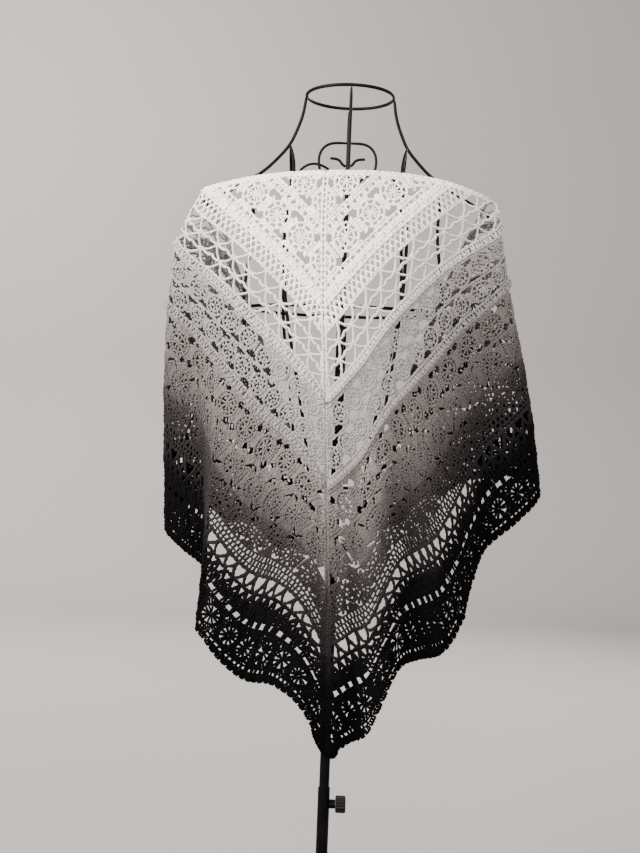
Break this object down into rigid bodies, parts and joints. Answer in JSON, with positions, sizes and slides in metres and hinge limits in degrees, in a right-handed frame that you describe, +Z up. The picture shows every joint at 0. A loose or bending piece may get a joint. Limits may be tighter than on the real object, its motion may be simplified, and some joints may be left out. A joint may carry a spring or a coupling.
{
  "type": "shawl on wire dress form",
  "caption": "Three-cornered openwork crochet shawl shading from white to black, hanging over the shoulders of an open black wire dress form on a pole stand.",
  "frame": {"origin": "on the floor, at the middle of the round base, on the axis of the pole", "axes": "+Z up along the pole, +X towards the right shoulder seen from behind, +Y towards the open front of the shawl"},
  "size_m": [0.6164, 0.3354, 1.4877],
  "materials": {
    "yarn_white": "soft matt marled cotton and acrylic crochet yarn",
    "yarn_pale_grey": "soft matt marled cotton and acrylic crochet yarn",
    "yarn_light_grey": "soft matt marled cotton and acrylic crochet yarn",
    "yarn_mid_grey": "soft matt marled cotton and acrylic crochet yarn",
    "yarn_dark_grey": "soft matt marled cotton and acrylic crochet yarn",
    "yarn_black": "soft matt marled cotton and acrylic crochet yarn",
    "black_wire": "satin black powder coat",
    "knob_plastic": "ribbed black moulding"
  },
  "bodies": {
    "stand": {"base": "black_wire", "lower_tube": "black_wire"},
    "form": {"neck_ring": "black_wire", "bust_hoop": "black_wire", "waist_hoop": "black_wire", "centre_back_wire": "black_wire", "centre_front_wire": "black_wire", "pole": "black_wire", "waist_hub": "black_wire", "shoulder_wire_left": "black_wire", "shoulder_knob_left": "black_wire", "back_princess_left": "black_wire", "front_princess_left": "black_wire", "side_wire_left": "black_wire", "neck_scroll_left": "black_wire", "neck_curl_left": "black_wire", "waist_scroll_left": "black_wire", "shoulder_wire_right": "black_wire", "shoulder_knob_right": "black_wire", "back_princess_right": "black_wire", "front_princess_right": "black_wire", "side_wire_right": "black_wire", "neck_scroll_right": "black_wire", "neck_curl_right": "black_wire", "waist_scroll_right": "black_wire", "bracket_back": "black_wire", "bracket_right": "black_wire", "bracket_front": "black_wire", "bracket_left": "black_wire", "shawl_yoke_left": "yarn_white", "shawl_yoke_right": "yarn_white", "shawl_net_left": "yarn_pale_grey", "shawl_net_right": "yarn_pale_grey", "shawl_fan_left": "yarn_light_grey", "shawl_fan_right": "yarn_light_grey", "shawl_flower_left": "yarn_mid_grey", "shawl_flower_right": "yarn_mid_grey", "shawl_dark_net_left": "yarn_dark_grey", "shawl_dark_net_right": "yarn_dark_grey", "shawl_border_left": "yarn_black", "shawl_border_right": "yarn_black"},
    "thumb_screw": {"thumb_screw": "knob_plastic"}
  },
  "joints": [
    {"name": "height_slide", "type": "slide", "parent": "stand", "child": "form", "axis": [0, 0, 1], "range_m": [-0.115, 0.16]},
    {"name": "thumb_screw_turn", "type": "hinge", "parent": "stand", "child": "thumb_screw", "pos_m": [0.0265, 0, 0.36], "axis": [1, 0, 0], "range_deg": [0, 360]}
  ]
}
